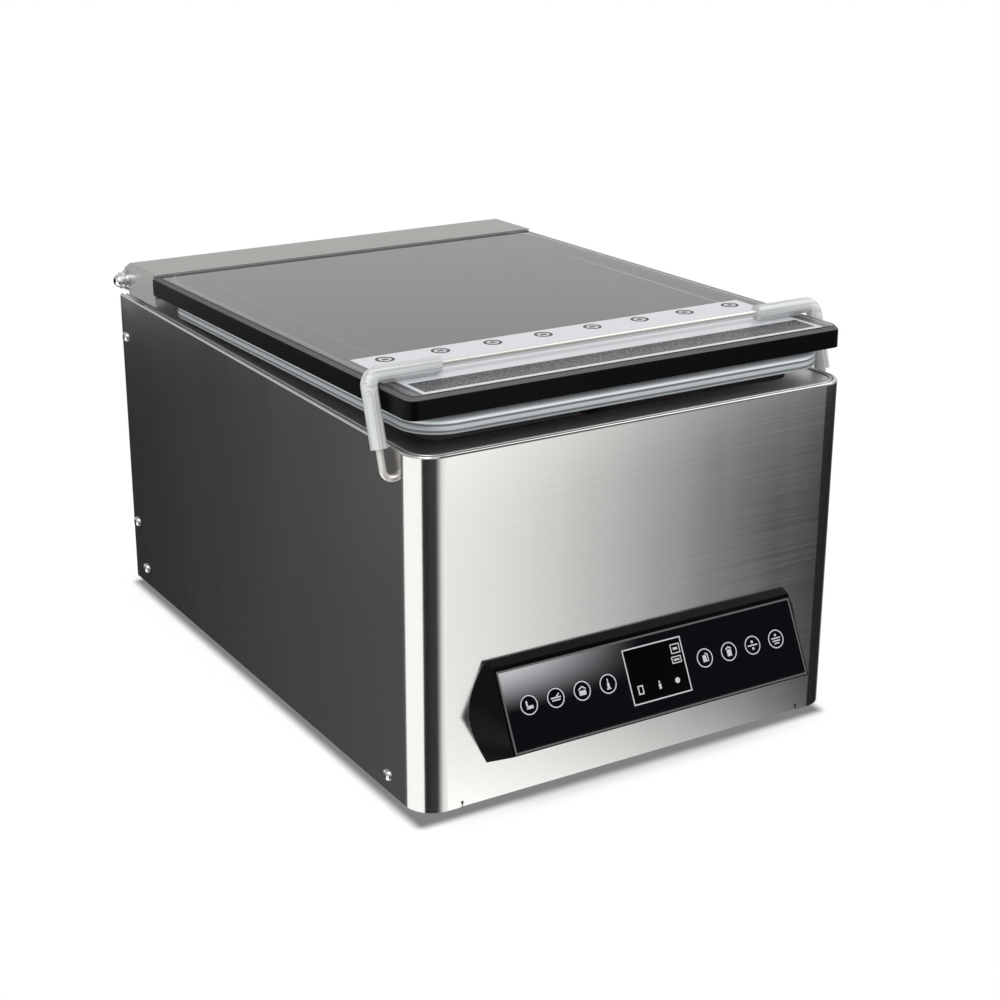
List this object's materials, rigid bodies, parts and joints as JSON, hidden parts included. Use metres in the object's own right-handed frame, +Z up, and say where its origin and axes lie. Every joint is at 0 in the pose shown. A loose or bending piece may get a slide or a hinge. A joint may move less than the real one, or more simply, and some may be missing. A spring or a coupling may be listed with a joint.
{
  "type": "chamber vacuum sealer",
  "caption": "Compact chamber vacuum sealer with a hinged clear lid, hold-down bail, lifting seal bar, sloping key panel and a vane pump inside.",
  "frame": {"origin": "centre of the overall box on the plane that the feet stand on", "axes": "+X to the right across the width, the front with its key panel looks along -Y, +Z up"},
  "size_m": [0.3738, 0.539, 0.3043],
  "materials": {
    "brushed_steel_side": "fine brushed, satin",
    "deck_steel": "satin",
    "chamber_steel": "satin",
    "galvanised": "matt zinc",
    "bright_steel": "polished",
    "rubber_black": "matt",
    "lid_acrylic": "smoked, polished, dark printed edge",
    "gasket_silicone": "translucent silicone",
    "hinge_steel": "satin",
    "sleeve_clear": "soft clear tube",
    "black_plastic": "fine satin",
    "overlay_film": "gloss film",
    "key_film": "gloss film with a pale ring",
    "display_lens": "gloss lens",
    "display_glass": "smooth",
    "board_green": "solder mask",
    "nylon_white": "matt board",
    "aluminium_bar": "satin",
    "heating_tape": "woven coated tape",
    "silicone_red": "matt",
    "cast_body": "painted casting",
    "motor_paint": "satin enamel",
    "fan_plastic": "matt",
    "lamination": "varnished",
    "hose_rubber": "matt",
    "coil_black": "moulded",
    "rocker_red": "gloss"
  },
  "bodies": {
    "cabinet": {"cabinet_wrap": "brushed_steel_side", "deck_plate": "deck_steel", "base_plate": "galvanised", "back_panel": "brushed_steel_side", "rubber_feet": "rubber_black", "cabinet_screws": "bright_steel", "vacuum_chamber": "chamber_steel", "vacuum_port": "bright_steel", "filler_plate": "nylon_white", "hinge_brackets": "galvanised", "lid_springs": "galvanised", "bail_bushes": "black_plastic", "control_bezel": "black_plastic", "control_overlay": "overlay_film", "display_window": "display_lens", "power_inlet": "coil_black", "switch_housing": "coil_black", "lift_cylinders": "aluminium_bar", "keypad_board": "board_green", "display_module": "display_glass", "motor_housing": "motor_paint", "fan_cowl": "motor_paint", "pump_head": "cast_body", "exhaust_filter": "cast_body", "pump_mounts": "rubber_black", "transformer": "lamination", "valve_block": "aluminium_bar", "solenoid_coils": "coil_black", "control_board": "board_green", "chamber_hose": "hose_rubber", "lift_hoses": "hose_rubber", "lid_switch": "coil_black"},
    "lid": {"lid_panel": "lid_acrylic", "lid_gasket": "gasket_silicone", "hinge_bar": "hinge_steel", "hinge_bolts": "bright_steel", "backing_bar": "aluminium_bar", "backing_pad": "silicone_red"},
    "bail": {"bail_wire": "bright_steel", "bail_sleeves": "sleeve_clear"},
    "seal_bar": {"seal_bar": "aluminium_bar", "heating_strip": "heating_tape", "lift_posts": "bright_steel"},
    "motor_shaft": {"motor_shaft": "bright_steel", "motor_fan": "fan_plastic", "pump_rotor": "cast_body"},
    "power_rocker": {"power_rocker": "rocker_red"},
    "lid_switch_plunger": {"lid_switch_plunger": "silicone_red"},
    "key_1": {"key_1": "key_film"},
    "key_2": {"key_2": "key_film"},
    "key_3": {"key_3": "key_film"},
    "key_4": {"key_4": "key_film"},
    "key_5": {"key_5": "key_film"},
    "key_6": {"key_6": "key_film"},
    "key_7": {"key_7": "key_film"},
    "key_8": {"key_8": "key_film"}
  },
  "joints": [
    {"name": "lid_hinge", "type": "hinge", "parent": "cabinet", "child": "lid", "pos_m": [0, 0.2505, 0.27], "axis": [-1, 0, 0], "range_deg": [-1.14, 65]},
    {"name": "bail_swing", "type": "hinge", "parent": "cabinet", "child": "bail", "pos_m": [0, -0.2043, 0.2355], "axis": [1, 0, 0], "range_deg": [0, 155]},
    {"name": "seal_bar_lift", "type": "slide", "parent": "cabinet", "child": "seal_bar", "axis": [0, 0, 1], "range_m": [0, 0.006]},
    {"name": "motor_spin", "type": "hinge", "parent": "cabinet", "child": "motor_shaft", "pos_m": [0, 0.01025, 0.0704], "axis": [1, 0, 0], "continuous": true},
    {"name": "power_rocker_tilt", "type": "hinge", "parent": "cabinet", "child": "power_rocker", "pos_m": [0.065, 0.2605, 0.066], "axis": [-1, 0, 0], "range_deg": [0, 18]},
    {"name": "lid_switch_press", "type": "slide", "parent": "cabinet", "child": "lid_switch_plunger", "axis": [0, 0, -1], "range_m": [0, 0.0015], "stiffness_N_per_m": 200},
    {"name": "key_1_press", "type": "slide", "parent": "cabinet", "child": "key_1", "axis": [0, 0.891, -0.4539], "range_m": [0, 0.0005], "stiffness_N_per_m": 600},
    {"name": "key_2_press", "type": "slide", "parent": "cabinet", "child": "key_2", "axis": [0, 0.891, -0.4539], "range_m": [0, 0.0005], "stiffness_N_per_m": 600},
    {"name": "key_3_press", "type": "slide", "parent": "cabinet", "child": "key_3", "axis": [0, 0.891, -0.4539], "range_m": [0, 0.0005], "stiffness_N_per_m": 600},
    {"name": "key_4_press", "type": "slide", "parent": "cabinet", "child": "key_4", "axis": [0, 0.891, -0.4539], "range_m": [0, 0.0005], "stiffness_N_per_m": 600},
    {"name": "key_5_press", "type": "slide", "parent": "cabinet", "child": "key_5", "axis": [0, 0.891, -0.4539], "range_m": [0, 0.0005], "stiffness_N_per_m": 600},
    {"name": "key_6_press", "type": "slide", "parent": "cabinet", "child": "key_6", "axis": [0, 0.891, -0.4539], "range_m": [0, 0.0005], "stiffness_N_per_m": 600},
    {"name": "key_7_press", "type": "slide", "parent": "cabinet", "child": "key_7", "axis": [0, 0.891, -0.4539], "range_m": [0, 0.0005], "stiffness_N_per_m": 600},
    {"name": "key_8_press", "type": "slide", "parent": "cabinet", "child": "key_8", "axis": [0, 0.891, -0.4539], "range_m": [0, 0.0005], "stiffness_N_per_m": 600}
  ]
}
